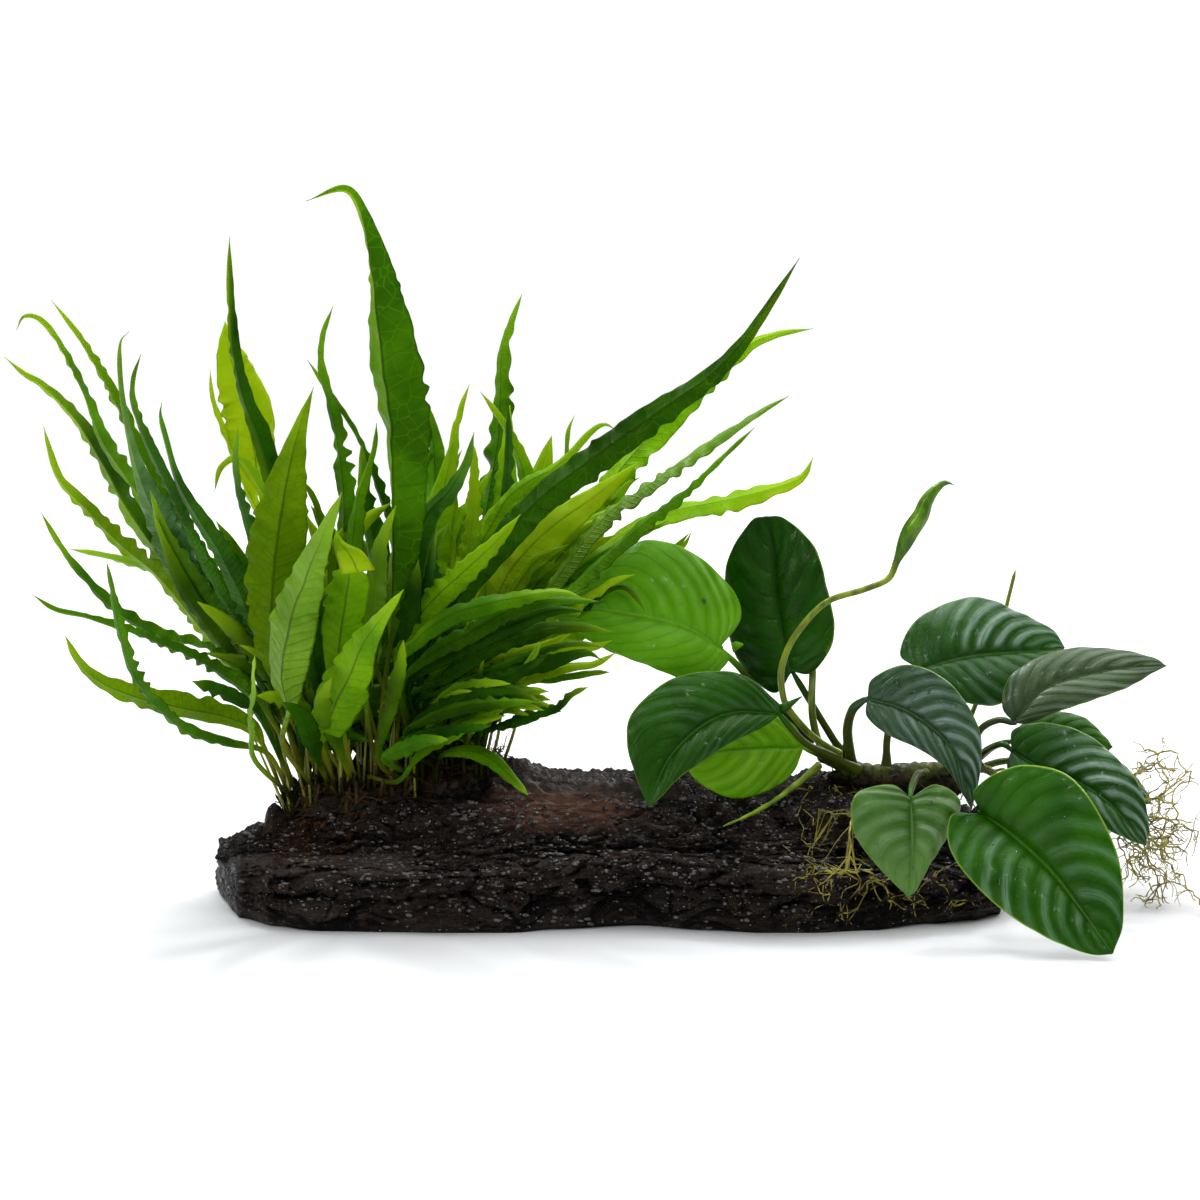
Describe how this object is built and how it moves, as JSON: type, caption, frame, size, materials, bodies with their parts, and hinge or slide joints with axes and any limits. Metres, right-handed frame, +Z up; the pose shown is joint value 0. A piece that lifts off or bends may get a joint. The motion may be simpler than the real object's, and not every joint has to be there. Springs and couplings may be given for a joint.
{
  "type": "java fern and anubias on driftwood",
  "caption": "A clump of narrow wavy fern fronds and a broad-leaved anubias with its roots and a budded flower stalk, grown on one dark piece of driftwood",
  "frame": {"origin": "the middle of the driftwood's flat underside, on the surface it rests on", "axes": "+X runs along the driftwood towards the anubias, +Y points to the back, +Z is up; the front in the picture faces -Y"},
  "size_m": [0.407, 0.1486, 0.2478],
  "materials": {
    "driftwood": "gloss",
    "fern_rhizome": "matte",
    "fern_leaf": "satin",
    "anubias_leaf": "gloss",
    "anubias_stem": "satin",
    "anubias_root": "satin"
  },
  "bodies": {
    "root": {"driftwood": "driftwood", "fern_rhizome_mat": "fern_rhizome", "fern_frond_01": "fern_leaf", "fern_frond_02": "fern_leaf", "fern_frond_03": "fern_leaf", "fern_frond_04": "fern_leaf", "fern_frond_05": "fern_leaf", "fern_frond_06": "fern_leaf", "fern_frond_07": "fern_leaf", "fern_frond_08": "fern_leaf", "fern_frond_09": "fern_leaf", "fern_frond_10": "fern_leaf", "fern_frond_11": "fern_leaf", "fern_frond_12": "fern_leaf", "fern_frond_13": "fern_leaf", "fern_frond_14": "fern_leaf", "fern_frond_15": "fern_leaf", "fern_frond_16": "fern_leaf", "fern_frond_17": "fern_leaf", "fern_frond_18": "fern_leaf", "fern_frond_19": "fern_leaf", "fern_frond_20": "fern_leaf", "fern_frond_21": "fern_leaf", "fern_frond_22": "fern_leaf", "fern_frond_23": "fern_leaf", "fern_frond_24": "fern_leaf", "fern_frond_25": "fern_leaf", "fern_frond_26": "fern_leaf", "fern_frond_27": "fern_leaf", "fern_frond_28": "fern_leaf", "fern_frond_29": "fern_leaf", "fern_frond_30": "fern_leaf", "fern_frond_31": "fern_leaf", "fern_frond_32": "fern_leaf", "fern_frond_33": "fern_leaf", "fern_frond_34": "fern_leaf", "fern_frond_35": "fern_leaf", "fern_frond_36": "fern_leaf", "fern_frond_37": "fern_leaf", "fern_frond_38": "fern_leaf", "fern_frond_39": "fern_leaf", "fern_frond_40": "fern_leaf", "anubias_rhizome": "anubias_stem", "anubias_leaf_01": "anubias_leaf", "anubias_leaf_02": "anubias_leaf", "anubias_leaf_03": "anubias_leaf", "anubias_leaf_04": "anubias_leaf", "anubias_leaf_05": "anubias_leaf", "anubias_leaf_06": "anubias_leaf", "anubias_leaf_07": "anubias_leaf", "anubias_leaf_08": "anubias_leaf", "anubias_leaf_09": "anubias_leaf", "anubias_leaf_10": "anubias_leaf", "anubias_leaf_11": "anubias_leaf", "anubias_leaf_12": "anubias_leaf", "anubias_flower_stalk": "anubias_stem", "anubias_shoot": "anubias_stem", "anubias_aerial_root": "anubias_root", "anubias_front_roots": "anubias_root", "anubias_root_tuft": "anubias_root"}
  },
  "joints": []
}
